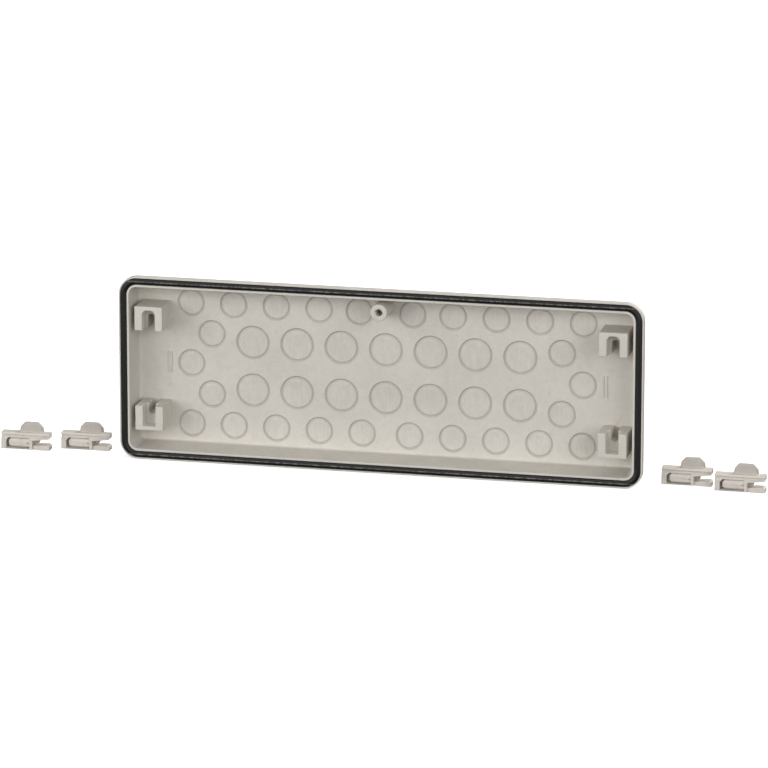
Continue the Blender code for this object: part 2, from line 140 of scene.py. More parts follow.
def angle(name, description, degrees):
    """Angle property, kept in radians."""
    return bpy.props.FloatProperty(name=name, description=description,
                                   default=math.radians(degrees), precision=4, unit="ROTATION")


def tint(name, description, default):
    """Colour property."""
    return bpy.props.FloatVectorProperty(name=name, description=description, default=default,
                                         size=3, min=0.0, max=1.0, subtype="COLOR")


class FLANGE_PG_tray(bpy.types.PropertyGroup):
    """Sizes of the lip, the walls and the floor."""

    length: size("Length", "Length of the lip", PLATE_HIGH.x - PLATE_LOW.x)
    height: size("Height", "Height of the lip", PLATE_HIGH.z - PLATE_LOW.z)
    depth: size("Depth", "From the rim plane to the outer face", PLATE_HIGH.y)
    corner: size("Corner radius", "Radius of the lip's corners", 0.012)
    tight_corner: size("Tightest corner", "Smallest radius of an inner corner", 0.0020)
    lip_depth: size("Lip thickness", "Thickness of the lip", 0.0055)
    lip_edge: size("Lip edge", "Rounding of the lip's outer edges", 0.0005)
    land: size("Land", "Flat outside the gasket channel", 0.0010)
    channel_width: size("Channel width", "Width of the gasket channel", 0.00435)
    channel_depth: size("Channel depth", "Depth of the gasket channel", 0.0030)
    ridge: size("Ridge", "Width of the ridge inside the channel", 0.00145)
    ridge_edge: size("Ridge edge", "Rounding of the ridge's two edges", 0.0003)
    fine_edge: size("Fine edge", "Rounding of the channel's edges", 0.00015)
    root_round: size("Root round", "Rounding where the wall meets the lip's back", 0.0008)
    wall: size("Wall", "Thickness of the walls", 0.0025)
    floor: size("Floor", "Thickness of the floor", 0.0025)
    lean: size("Lean", "How far each wall leans in over its depth", 0.0011)
    side_fillet: size("Side fillet", "Reach of the fillet at the long walls", 0.0012)
    end_fillet: size("End fillet", "Reach of the fillet at the short walls", 0.0045)
    fillet_rise: size("Fillet rise", "Height of the fillets", 0.0026)
    back_round: size("Back round", "Rounding of the outer face's edge", 0.0022)
    corner_steps: count("Corner steps", "Faces in a quarter of a corner", 14)
    round_steps: count("Round steps", "Faces across a rounded edge", 4)
    fillet_steps: count("Fillet steps", "Faces across a fillet", 8)


class FLANGE_PG_knockouts(bpy.types.PropertyGroup):
    """Sizes and pattern of the knockouts in the floor."""

    large: size("Large", "Diameter of the large knockouts", 0.0205)
    large_spacing: size("Large spacing", "Gap between large knockouts in a row", 0.0088)
    large_row_spacing: size("Row spacing", "Gap between the two rows of large ones", 0.0112)
    large_per_side: count("Large per side", "Large knockouts on each side of the middle one", 3)
    small: size("Small", "Diameter of the small knockouts", 0.0165)
    small_spacing: size("Small spacing", "Gap between small knockouts in a row", 0.0118)
    small_middle: size("Middle spacing", "Gap at the middle of a small row", 0.0149)
    small_per_side: count("Small per side", "Small knockouts in half a row", 5)
    outer_row: size("Outer row", "Gap between a large row and a small row", 0.0059)
    end_spacing: size("End spacing", "Gap between the large rows and the end ones", 0.0087)
    end_rows: size("End rows", "Gap between the two end ones", 0.0236)
    point_step: size("Point step", "How far the last one stands out", 0.0136)
    boss_sidestep: size("Boss sidestep", "How far the middle ones make way for the boss", 0.0016)
    groove_width: size("Groove width", "Width of the ring groove", 0.0020)
    groove_depth: size("Groove depth", "Depth of the ring groove", 0.0009)
    recess: size("Disc recess", "How far the disc lies under the floor", 0.00038)
    lobe: size("Lobe", "Height of the swelling near the disc's top", 0.00034)
    back_width: size("Back groove width", "Width of the ring on the outer face", 0.0007)
    back_depth: size("Back groove depth", "Depth of the ring on the outer face", 0.0003)
    back_recess: size("Back recess", "How far the disc lies under the outer face", 0.0001)
    segments: count("Segments", "Faces round a knockout", 64)


class FLANGE_PG_fittings(bpy.types.PropertyGroup):
    """Sizes of the boss, the posts and the centre marks."""

    boss: size("Boss", "Diameter of the boss", 0.0110)
    boss_foot: size("Boss foot", "Diameter of the boss at the floor", 0.0114)
    boss_edge: size("Boss edge", "Rounding of the boss's front edge", 0.0007)
    bore: size("Bore", "Diameter of the screw hole", 0.0045)
    bore_chamfer: size("Bore chamfer", "Chamfer at the mouth of the hole", 0.0006)
    bore_depth: size("Bore depth", "Depth of the hole", 0.0120)
    boss_gap: size("Boss gap", "From the boss to the upper wall", 0.0028)
    post_width: size("Post width", "Width of a post", 0.0185)
    post_height: size("Post height", "Height of a post", 0.0160)
    post_end_gap: size("Post end gap", "From a post to the short wall", 0.0036)
    post_side_gap: size("Post side gap", "From a post to the long wall", 0.0127)
    post_edge: size("Post edge", "Rounding of a post's edges", 0.0007)
    slot_width: size("Slot width", "Width of the slot in a post's front", 0.0083)
    slot_depth: size("Slot depth", "Depth of that slot", 0.0085)
    slot_end_wall: size("Slot end wall", "Wall past the closed end of the slot", 0.0026)
    upper_round: size("Upper slot round", "Corner radius of the upper slots", 0.0032)
    lower_round: size("Lower slot round", "Corner radius of the lower slots", 0.0005)
    deep_width: size("Deep slot width", "Width of the slot behind it", 0.0046)
    deep_round: size("Deep slot round", "Corner radius of the slot behind it", 0.0019)
    upper_deep_wall: size("Upper deep wall", "Wall past the upper deep slots", 0.0068)
    lower_deep_wall: size("Lower deep wall", "Wall past the lower deep slots", 0.0090)
    mark_length: size("Mark length", "Length of a centre mark", 0.0140)
    mark_width: size("Mark width", "Width of a centre mark", 0.0006)
    mark_rise: size("Mark rise", "Height of a centre mark", 0.0006)
    mark_spacing: size("Mark spacing", "Distance between two marks", 0.0023)
    mark_end_gap: size("Mark end gap", "From the marks to the opening's end", 0.0215)


class FLANGE_PG_gasket(bpy.types.PropertyGroup):
    """Sizes of the gasket."""

    clearance: size("Clearance", "Gap between the strip and its channel", 0.0003)
    rise: size("Rise", "How far the strip stands proud of the rim", 0.0006)
    crown: size("Crown", "How far its edges lie under its middle", 0.0006)
    bead: size("Bead", "Height of the bead along its middle", 0.0003)
    bead_width: size("Bead width", "Width of that bead", 0.0010)
    steps: count("Crown steps", "Faces across the strip", 24)


class FLANGE_PG_wedge(bpy.types.PropertyGroup):
    """Sizes of a locking wedge."""

    length: size("Length", "Length of a wedge", 0.0324)
    height: size("Height", "Height of its body", 0.0110)
    depth: size("Depth", "Depth of its body", 0.0070)
    chamfer: size("Chamfer", "Chamfer along the upper bar", 0.0008)
    end_block: size("End block", "Length of the closed end", 0.0032)
    lower_rail: size("Lower rail", "Height of the rail under the window", 0.0008)
    window_length: size("Window length", "Length of the window", 0.0158)
    window_height: size("Window height", "Height of the window", 0.0068)
    window_corner: size("Window corner", "Width of the window's cut corner", 0.0018)
    back_wall: size("Back wall", "From the back face to the window's back", 0.0014)
    rail_chamfer: size("Rail chamfer", "Chamfer under the front of that rail", 0.0007)
    bridge: size("Bridge", "Length of the bridge past the window", 0.0018)
    lower_tine: size("Lower tine", "Height of the fork's lower tine", 0.0034)
    lower_root: size("Lower tine root", "Height of that tine at its root", 0.0026)
    hollow_length: size("Hollow length", "Length of the hollow at the lower tine's root", 0.0026)
    hollow_depth: size("Hollow depth", "Depth of that hollow", 0.0014)
    lower_round: size("Lower round", "Rounding of the lower tine's tip", 0.0016)
    throat: size("Throat", "Opening of the fork at its root", 0.0028)
    mouth: size("Mouth", "Opening of the fork at its tips", 0.0040)
    upper_round: size("Upper round", "Rounding of the upper tine's tip", 0.0007)
    web_length: size("Web length", "Length of the web in the fork", 0.0062)
    web_slant: size("Web slant", "Slant of the web's free edge", 0.0040)
    web_depth: size("Web depth", "Thickness of the web", 0.0020)
    web_setback: size("Web setback", "From the web to the back face", 0.0004)
    tongue_clearance: size("Tongue clearance", "Gap above and below the tongue", 0.0004)
    tongue_tip_gap: size("Tongue tip gap", "Gap at the tongue's tip", 0.0016)
    tongue_nose: size("Tongue nose", "Length of the tapering tip", 0.0016)
    tongue_tip: size("Tongue tip", "Height of the tongue's blunt tip", 0.0030)
    tongue_depth: size("Tongue depth", "Thickness of the tongue", 0.0050)
    tongue_round: size("Tongue round", "Rounding of the tongue's front edges", 0.0018)
    tongue_steps: count("Tongue steps", "Faces across that rounding", 5)
    line_width: size("Line width", "Width of the groove along the tongue", 0.0007)
    line_depth: size("Line depth", "Depth of that groove", 0.0004)
    line_start: size("Line start", "From the closed end to the groove", 0.0082)
    dimple: size("Dimple", "Width of the pit where the groove ends", 0.0010)
    recess_depth: size("Recess depth", "Depth of the recess along the bar's lower edge", 0.0022)
    recess_top: size("Recess below top", "From the bar's top to the recess", 0.0013)
    recess_open: size("Recess open height", "Height of the recess at the fork's tip", 0.0007)
    recess_lip: share("Recess lip", "Depth at the recess's lower edge over its full depth", 0.1)
    recess_overlap: size("Recess overlap", "How far the recess runs into the window", 0.0004)
    tab_start: size("Tab start", "From the closed end to the tab", 0.0115)
    tab_length: size("Tab length", "Length of the tab's foot", 0.0160)
    tab_height: size("Tab height", "Height of the tab", 0.0063)
    tab_depth: size("Tab depth", "Thickness of the tab", 0.0036)
    tab_lean: size("Tab lean", "How far the tab's sides lean in", 0.0005)
    tab_shoulder: size("Tab shoulder", "Height where its corners are cut", 0.0033)
    tab_corner: size("Tab corner", "Width of its cut corners", 0.0029)
    tab_round: size("Tab round", "Rounding at the ends of those cuts", 0.0016)
    tab_steps: count("Tab steps", "Faces across each such rounding", 3)
    tab_chamfer: size("Tab chamfer", "Chamfer round the tab's front", 0.0010)
    edge: size("Edge", "Rounding of the small edges", 0.00025)
    set_in: size("Set in", "How far the tongue and the tab lie behind the body's faces", 0.00006)


class FLANGE_PG_finish(bpy.types.PropertyGroup):
    """Colours and surface of the plastics and of the rubber."""

    plate: tint("Plate", "Moulded plastic of the plate", (0.650, 0.618, 0.562))
    wedge: tint("Wedges", "Moulded plastic of the wedges", (0.70, 0.655, 0.595))
    rubber: tint("Rubber", "Gasket rubber", (0.009, 0.009, 0.008))
    # Colour of the painted highlight on the gasket's bead, where an overhead light would shine
    painted_highlight: tint("Painted highlight", "Pale highlight painted on the bead of the rubber", (0.19, 0.19, 0.18))
    streaks: share("Streaks", "Strength of the flow marks on the knockouts", 0.05)
    tab_shade: share("Tab shade", "Tone of the thumb tabs, darker than the rest of the wedge", 0.72)
    # Painted shade: darkens the web deep in each wedge's fork
    web_painted_shade: share("Web shade", "Painted shade on the web deep in a wedge's fork", 0.68)
    # Painted shade, with some dust: darkens the knockouts' ring grooves
    groove_dust_and_shade: share("Groove shade", "Tone of the knockouts' ring grooves beside the floor: painted shade with some dust", 0.84)
    gloss: share("Gloss", "Strength of the plastic's reflection", 0.28)
    smoothest: share("Smoothest", "Lowest roughness of the plastic", 0.52)
    roughest: share("Roughest", "Highest roughness of the plastic", 0.64)
    grain: size("Grain", "Size of the plastic's grain", 0.0011)
    cloud: size("Cloud", "Size of the plastic's colour clouds", 0.028)
    mottle: size("Mottle", "Size of the plastic's small blotches", 0.0045)
    speck: size("Speck", "Size of the plastic's dark specks", 0.0044)
    streak_width: size("Streak width", "Width of the flow marks", 0.00154)
    streak_squash: share("Streak squash", "Width of a flow mark over its length", 0.16)
    grain_height: size("Grain height", "Height of the plastic's grain", 0.000035)
    rubber_gloss: share("Rubber gloss", "Strength of the rubber's reflection", 0.35)
    rubber_roughness: share("Rubber roughness", "Roughness of the rubber", 0.5)
    pit: size("Pit", "Size of the rubber's pits", 0.0006)
    pit_depth: size("Pit depth", "Depth of those pits", 0.0001)
    highlight_patch: size("Highlight patch", "Size of the patches of painted highlight on the rubber", 0.0020)
    highlight_inner: size("Highlight inner", "From the bead's middle to where the painted highlight starts to fade", 0.0002)
    highlight_outer: size("Highlight outer", "From the bead's middle to where the painted highlight ends", 0.00055)


class FLANGE_PG_stage(bpy.types.PropertyGroup):
    """Camera and light."""

    yaw: angle("Yaw", "Camera's turn to the right", 12.87)
    pitch: angle("Pitch", "Camera's height above the horizon", 14.45)
    roll: angle("Roll", "Camera's roll", 0.07)
    distance: size("Distance", "From the camera to the rim plane", 3.555)
    aside: size("Aside", "How far the view's middle lies to the right of the plate's", 0.00356)
    below: size("Below", "How far the view's middle lies under the plate's", 0.0011)
    focal: share("Focal length", "Lens on a 36 mm sensor, in millimetres", 261.17)
    floor: tint("Floor", "Pale floor", (0.75, 0.75, 0.75))
    floor_glow: share("Floor glow", "Light that the floor gives off", 0.70)
    floor_reach: size("Floor reach", "Half the side of the floor", 12.0)
    floor_roughness: share("Floor roughness", "Roughness of the floor", 0.9)
    sky: share("Sky", "Strength of the even light", 0.05)
    light_size: size("Light size", "Side of each soft light", 1.6)
    light_distance: size("Light distance", "From each light to the plate", 2.6)
    front_power: share("Front power", "Power of the front light, in watts", 22.0)
    front_turn: angle("Front turn", "Front light's turn to the right", -10.0)
    front_rise: angle("Front rise", "Front light's height above the horizon", 10.0)
    left_power: share("Left power", "Power of the light on the left, in watts", 33.0)
    left_turn: angle("Left turn", "Left light's turn to the right", -46.0)
    left_rise: angle("Left rise", "Left light's height above the horizon", 12.0)
    right_power: share("Right power", "Power of the light on the right, in watts", 31.0)
    right_turn: angle("Right turn", "Right light's turn to the right", 45.0)
    right_rise: angle("Right rise", "Right light's height above the horizon", 15.0)
    back_power: share("Back power", "Power of the light behind the plate, in watts", 65.0)
    back_turn: angle("Back turn", "Back light's turn to the right", 150.0)
    back_rise: angle("Back rise", "Back light's height above the horizon", 30.0)
    top_power: share("Top power", "Power of the light overhead, in watts", 18.0)
    top_turn: angle("Top turn", "Overhead light's turn to the right", 0.0)
    top_rise: angle("Top rise", "Overhead light's height above the horizon", 88.0)


def evaluated_mesh(obj):
    """Plain mesh of an object with its modifiers applied."""
    depsgraph = bpy.context.evaluated_depsgraph_get()
    return bpy.data.meshes.new_from_object(obj.evaluated_get(depsgraph))


def add_object(name, data):
    """Link a mesh, a curve, a light or a camera into the scene."""
    obj = bpy.data.objects.new(name, data)
    bpy.context.scene.collection.objects.link(obj)
    return obj


def add_solid(name, bm):
    """Turn a bmesh into an object whose faces point outwards."""
    bmesh.ops.recalc_face_normals(bm, faces=bm.faces)
    mesh = bpy.data.meshes.new(name)
    bm.to_mesh(mesh)
    bm.free()
    return add_object(name, mesh)


@contextmanager
def edited(obj):
    """An object's mesh as a bmesh, which is written back afterwards."""
    bm = bmesh.new()
    bm.from_mesh(obj.data)
    yield bm
    bm.to_mesh(obj.data)
    bm.free()


def baked(obj):
    """Apply the modifiers of an object for good."""
    mesh = evaluated_mesh(obj)
    obj.modifiers.clear()
    old = obj.data
    obj.data = mesh
    bpy.data.meshes.remove(old)
    return obj


def combined(target, tools, operation, materials="INDEX"):
    """Boolean of each tool on the target, after which the tools are gone."""
    for tool in tools:
        modifier = target.modifiers.new(tool.name, "BOOLEAN")
        modifier.operation = operation
        modifier.solver = "EXACT"
        modifier.material_mode = materials
        modifier.object = tool
    baked(target)
    for tool in tools:
        bpy.data.objects.remove(tool, do_unlink=True)
    return target


def rounded(obj, width, segments=2):
    """Round the edges of an object that stand at a clear angle."""
    bevel = obj.modifiers.new("edges", "BEVEL")
    bevel.width = width
    bevel.segments = segments
    bevel.limit_method = "ANGLE"
    bevel.angle_limit = SMOOTH_ANGLE
    bevel.use_clamp_overlap = True
    return baked(obj)


def shaded(obj):
    """Weld doubled points, smooth the round surfaces and keep the flats flat."""
    with edited(obj) as bm:
        bmesh.ops.remove_doubles(bm, verts=bm.verts, dist=MERGE_DISTANCE)
    obj.data.shade_smooth()
    obj.data.set_sharp_from_angle(angle=SMOOTH_ANGLE)
    weighted = obj.modifiers.new("flats", "WEIGHTED_NORMAL")
    weighted.mode = "FACE_AREA"
    weighted.keep_sharp = True
    return baked(obj)


def flat_solid(name, outlines, near, far):
    """Solid of closed (x, z) outlines, holes included, between two depths along Y."""
    curve = bpy.data.curves.new(name, "CURVE")
    curve.dimensions = "2D"
    curve.fill_mode = "BOTH"
    curve.extrude = (far - near) / 2
    for outline in outlines:
        spline = curve.splines.new("POLY")
        spline.points.add(len(outline) - 1)
        for point, (x, z) in zip(spline.points, outline):
            point.co = (x, z, 0, 1)
        spline.use_cyclic_u = True
    guide = add_object(name + "_curve", curve)
    bm = bmesh.new()
    bm.from_mesh(evaluated_mesh(guide))
    bpy.data.objects.remove(guide, do_unlink=True)
    bmesh.ops.remove_doubles(bm, verts=bm.verts, dist=MERGE_DISTANCE)
    bmesh.ops.dissolve_limit(bm, angle_limit=FLAT_ANGLE, verts=bm.verts, edges=bm.edges)
    bmesh.ops.transform(bm, matrix=Matrix.Translation((0, (near + far) / 2, 0)) @ UPRIGHT, verts=bm.verts)
    return add_solid(name, bm)


def prism(name, plane, outline, near, far):
    """Prism along the axis that the outline's plane leaves out."""
    loops = []
    for end in (near, far):
        if plane == "YZ":
            loops.append([Vector((end, a, b)) for a, b in outline])
        else:
            loops.append([Vector((a, b, end)) for a, b in outline])
    return add_solid(name, skin(loops))


def box(name, corner, opposite):
    """Box between two opposite corners."""
    centre = [(a + b) / 2 for a, b in zip(corner, opposite)]
    extent = [abs(b - a) for a, b in zip(corner, opposite)]
    bm = bmesh.new()
    bmesh.ops.create_cube(bm, size=1.0, matrix=Matrix.LocRotScale(centre, None, extent))
    return add_solid(name, bm)


def cut_edges(obj, picks, width, segments=1):
    """Bevel the sharp edges whose two ends both pass a test."""
    with edited(obj) as bm:
        edges = [edge for edge in bm.edges
                 if edge.calc_face_angle() > SHARP_ANGLE and all(picks(vert.co) for vert in edge.verts)]
        bmesh.ops.bevel(bm, geom=edges, offset=width, segments=segments, profile=0.5, affect="EDGES")


def arc(centre_x, centre_z, radius, first_quarter, steps=8):
    """Quarter of a circle as (x, z) points, anticlockwise from the given quarter."""
    points = []
    for step in range(steps + 1):
        turn = QUARTER_TURN * (first_quarter + step / steps)
        points.append((centre_x + radius * math.cos(turn), centre_z + radius * math.sin(turn)))
    return points


def rounded_path(corners, steps):
    """Line through (inset, depth, radius) corners, with an arc at each that has a radius."""
    path = []
    for index, (inset, depth, radius) in enumerate(corners):
        corner = Vector((inset, depth))
        if radius == 0:
            path.append(corner)
            continue
        back = (Vector(corners[index - 1][:2]) - corner).normalized()
        ahead = (Vector(corners[index + 1][:2]) - corner).normalized()
        half = back.angle(ahead) / 2
        centre = corner + (back + ahead).normalized() * radius / math.sin(half)
        first = corner + back * radius / math.tan(half) - centre
        last = corner + ahead * radius / math.tan(half) - centre
        path += [centre + first.slerp(last, step / steps) * radius for step in range(steps + 1)]
    return path


def rim_loop(tray, inset_x, inset_z, depth):
    """Loop that lies the given insets inside the lip's outline, at a depth behind the rim plane."""
    half_x = tray.length / 2 - inset_x
    half_z = tray.height / 2 - inset_z
    radius_x = max(tray.corner - inset_x, tray.tight_corner)
    radius_z = max(tray.corner - inset_z, tray.tight_corner)
    loop = []
    for quarter, (side_x, side_z) in enumerate(((1, 1), (-1, 1), (-1, -1), (1, -1))):
        for step in range(tray.corner_steps + 1):
            turn = QUARTER_TURN * (quarter + step / tray.corner_steps)
            x = side_x * (half_x - radius_x) + radius_x * math.cos(turn)
            z = side_z * (half_z - radius_z) + radius_z * math.sin(turn)
            loop.append(Vector((x, depth, z)))
    return loop


def skin(loops, ring=False):
    """Join loops of equal length in turn, into a ring or into a body with both ends closed."""
    bm = bmesh.new()
    rows = [[bm.verts.new(point) for point in loop] for loop in loops]
    pairs = list(zip(rows, rows[1:]))
    if ring:
        pairs.append((rows[-1], rows[0]))
    else:
        bm.faces.new(rows[0])
        bm.faces.new(rows[-1])
    for first, second in pairs:
        for index in range(len(first)):
            following = (index + 1) % len(first)
            bm.faces.new((first[index], first[following], second[following], second[index]))
    return bm


def opening_inset(tray):
    """From the lip's outline to the tray's opening."""
    return tray.land + tray.channel_width + tray.ridge


def floor_level(tray):
    """Depth of the floor behind the rim plane."""
    return tray.depth - tray.floor


def tray_body(tray):
    """Lip, channel, ridge, walls and floor as one skin, from the outer face round to the floor."""
    opening = opening_inset(tray)
    level = floor_level(tray)
    outer = opening - tray.wall
    back = outer + tray.lean * (tray.depth - tray.lip_depth) / level
    foot = opening + tray.lean
    corners = [(back + 2 * tray.back_round, tray.depth, 0),
               (back, tray.depth, tray.back_round),
               (outer, tray.lip_depth, tray.root_round),
               (0, tray.lip_depth, tray.lip_edge),
               (0, 0, tray.lip_edge),
               (tray.land, 0, tray.fine_edge),
               (tray.land, tray.channel_depth, tray.fine_edge),
               (tray.land + tray.channel_width, tray.channel_depth, tray.fine_edge),
               (tray.land + tray.channel_width, 0, tray.ridge_edge),
               (opening, 0, tray.ridge_edge),
               (foot, level - tray.fillet_rise, 0)]
    loops = [rim_loop(tray, inset, inset, depth) for inset, depth in rounded_path(corners, tray.round_steps)]
    for step in range(1, tray.fillet_steps + 1):
        turn = QUARTER_TURN * step / tray.fillet_steps
        inwards = 1 - math.cos(turn)
        loops.append(rim_loop(tray, foot + tray.end_fillet * inwards, foot + tray.side_fillet * inwards,
                              level - tray.fillet_rise * (1 - math.sin(turn))))
    return add_solid("flange_plate_dressed", skin(loops))


def slot_outline(x, closed_z, open_z, width, radius):
    """Slot that is open at one level and has two round corners at the other."""
    side = 1 if closed_z > open_z else -1
    half = side * width / 2
    centre_z = closed_z - side * radius
    first = arc(x + half - side * radius, centre_z, radius, 1 - side)
    second = arc(x - half + side * radius, centre_z, radius, 2 - side)
    return [[(x - half, open_z), (x + half, open_z)] + first + second]


def post(tray, fit, side_x, side_z):
    """Post in one corner, with a wide slot in front and a narrow, round-ended one behind it."""
    level = floor_level(tray)
    outer_x = side_x * (tray.length / 2 - opening_inset(tray) - fit.post_end_gap)
    outer_z = side_z * (tray.height / 2 - opening_inset(tray) - fit.post_side_gap)
    inner_x = outer_x - side_x * fit.post_width
    inner_z = outer_z - side_z * fit.post_height
    middle_x = (outer_x + inner_x) / 2
    open_z = inner_z - side_z * OVERSHOOT
    upper = side_z > 0
    wide = slot_outline(middle_x, outer_z - side_z * fit.slot_end_wall, open_z, fit.slot_width,
                        fit.upper_round if upper else fit.lower_round)
    deep = slot_outline(middle_x, outer_z - side_z * (fit.upper_deep_wall if upper else fit.lower_deep_wall),
                        open_z, fit.deep_width, fit.deep_round)
    body = box("post", (outer_x, 0, outer_z), (inner_x, level + BURIED, inner_z))
    cutters = [flat_solid("wide_slot", wide, -OVERSHOOT, fit.slot_depth),
               flat_solid("deep_slot", deep, fit.slot_depth - OVERSHOOT, level + 2 * BURIED)]
    return rounded(combined(body, cutters, "DIFFERENCE"), fit.post_edge)


def turned(name, profile, x, z, segments):
    """Body of revolution about an axis along Y, from (radius, depth) points that end on the axis."""
    loops = []
    for radius, depth in profile:
        loops.append([Vector((x + radius * math.cos(turn), depth, z + radius * math.sin(turn)))
                      for turn in (2 * math.pi * step / segments for step in range(segments))])
    return add_solid(name, skin(loops))


def boss(tray, fit, segments=48):
    """Boss with a blind screw hole, close under the upper wall."""
    level = floor_level(tray)
    z = tray.height / 2 - opening_inset(tray) - fit.boss_gap - fit.boss / 2
    bore = fit.bore / 2
    mouth = bore + fit.bore_chamfer
    profile = [(fit.boss_foot / 2, level + BURIED)]
    profile += [(fit.boss / 2 - fit.boss_edge * (1 - math.cos(turn)), fit.boss_edge * (1 - math.sin(turn)))
                for turn in (QUARTER_TURN * step / tray.round_steps for step in range(tray.round_steps + 1))]
    profile += [(mouth, 0), (bore, fit.bore_chamfer), (bore, fit.bore_depth)]
    return turned("boss", profile, 0, z, segments)


def centre_marks(tray, fit):
    """Two thin upright ribs on the floor at each end."""
    level = floor_level(tray)
    middle = tray.length / 2 - opening_inset(tray) - fit.mark_end_gap
    marks = []
    for side in (-1, 1):
        for step in (-1, 1):
            x = side * middle + step * fit.mark_spacing / 2
            marks.append(box("mark", (x - fit.mark_width / 2, level - fit.mark_rise, -fit.mark_length / 2),
                             (x + fit.mark_width / 2, level + BURIED, fit.mark_length / 2)))
    return marks


def large_centres(ko):
    """Centres of the two middle rows."""
    pitch = ko.large + ko.large_spacing
    row = (ko.large + ko.large_row_spacing) / 2
    steps = range(-ko.large_per_side, ko.large_per_side + 1)
    return [(step * pitch, side * row) for side in (-1, 1) for step in steps]


def small_centres(ko):
    """Centres of the outer rows, then of the three that close each end of the middle rows."""
    first_x = (ko.small + ko.small_middle) / 2
    row = (ko.large + ko.large_row_spacing) / 2 + (ko.large + ko.small) / 2 + ko.outer_row
    end_x = (ko.large_per_side * (ko.large + ko.large_spacing) + (ko.large + ko.small) / 2
             + ko.end_spacing)
    end_z = (ko.small + ko.end_rows) / 2
    centres = []
    for side in (-1, 1):
        for step in range(ko.small_per_side):
            x = first_x + step * (ko.small + ko.small_spacing)
            upper_x = x + ko.boss_sidestep if step == 0 else x
            centres += [(side * x, -row), (side * upper_x, row)]
        centres += [(side * end_x, end_z), (side * end_x, -end_z), (side * (end_x + ko.point_step), 0)]
    return centres


def fill(tree, socket, source):
    """Link an input to an output, or give it a value of its own."""
    if isinstance(source, bpy.types.NodeSocket):
        tree.links.new(source, socket)
    elif source is not None:
        socket.default_value = source


def node(tree, kind, *sources, named=None, **settings):
    """Add a node: settings are its own values, and sources fill its inputs in turn or by name."""
    made = tree.nodes.new(kind)
    for name, value in settings.items():
        setattr(made, name, value)
    for socket, source in zip(made.inputs, sources):
        fill(tree, socket, source)
    for name, source in (named or {}).items():
        fill(tree, made.inputs[name], source)
    return made


def maths(tree, operation, *sources):
    """Result of a Math node."""
    return node(tree, "ShaderNodeMath", *sources, operation=operation).outputs[0]


def ranged(tree, value, from_min, from_max, to_min, to_max):
    """Result of a clamped Map Range node."""
    return node(tree, "ShaderNodeMapRange", value, from_min, from_max, to_min, to_max).outputs[0]


